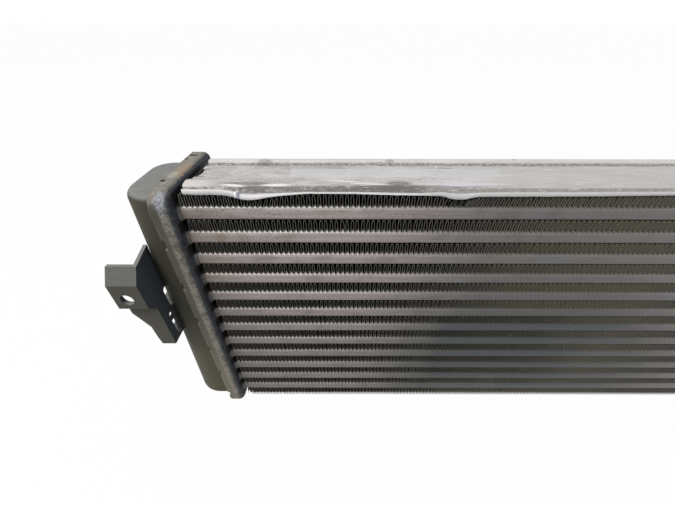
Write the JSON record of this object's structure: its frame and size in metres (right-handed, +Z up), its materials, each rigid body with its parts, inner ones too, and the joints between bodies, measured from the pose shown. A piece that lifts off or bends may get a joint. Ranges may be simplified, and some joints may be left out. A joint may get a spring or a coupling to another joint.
{
  "type": "intercooler",
  "caption": "Air-to-air charge cooler: a brazed aluminium tube-and-fin core between two crimped plastic end tanks with hose necks and brackets; weathered, with a dented top lip.",
  "frame": {"origin": "on the plane that the two headers' lower ends stand on, under the middle of the core", "axes": "+X along the tubes to the right-hand tank as seen from the front, +Y from the front face to the back, where the hose necks point, +Z up through the stack of tubes"},
  "size_m": [0.4948, 0.126, 0.1798],
  "materials": {
    "tube": "bare, weathered",
    "turbulator": "bare",
    "fin": "bare, dusty",
    "side_plate": "bare, weathered",
    "header": "bare, oxidised",
    "gasket": "matt",
    "tank": "glass-filled, matt, dusty"
  },
  "bodies": {
    "root": {"tube_01": "tube", "tube_02": "tube", "tube_03": "tube", "tube_04": "tube", "tube_05": "tube", "tube_06": "tube", "tube_07": "tube", "tube_08": "tube", "tube_09": "tube", "tube_10": "tube", "tube_11": "tube", "tube_12": "tube", "turbulator_01": "turbulator", "turbulator_02": "turbulator", "turbulator_03": "turbulator", "turbulator_04": "turbulator", "turbulator_05": "turbulator", "turbulator_06": "turbulator", "turbulator_07": "turbulator", "turbulator_08": "turbulator", "turbulator_09": "turbulator", "turbulator_10": "turbulator", "turbulator_11": "turbulator", "turbulator_12": "turbulator", "fin_strip_01": "fin", "fin_strip_02": "fin", "fin_strip_03": "fin", "fin_strip_04": "fin", "fin_strip_05": "fin", "fin_strip_06": "fin", "fin_strip_07": "fin", "fin_strip_08": "fin", "fin_strip_09": "fin", "fin_strip_10": "fin", "fin_strip_11": "fin", "fin_strip_12": "fin", "fin_strip_13": "fin", "side_plate_top": "side_plate", "side_plate_bottom": "side_plate", "header_left": "header", "header_right": "header", "gasket_left": "gasket", "gasket_right": "gasket", "tank_left": "tank", "tank_right": "tank"}
  },
  "joints": []
}
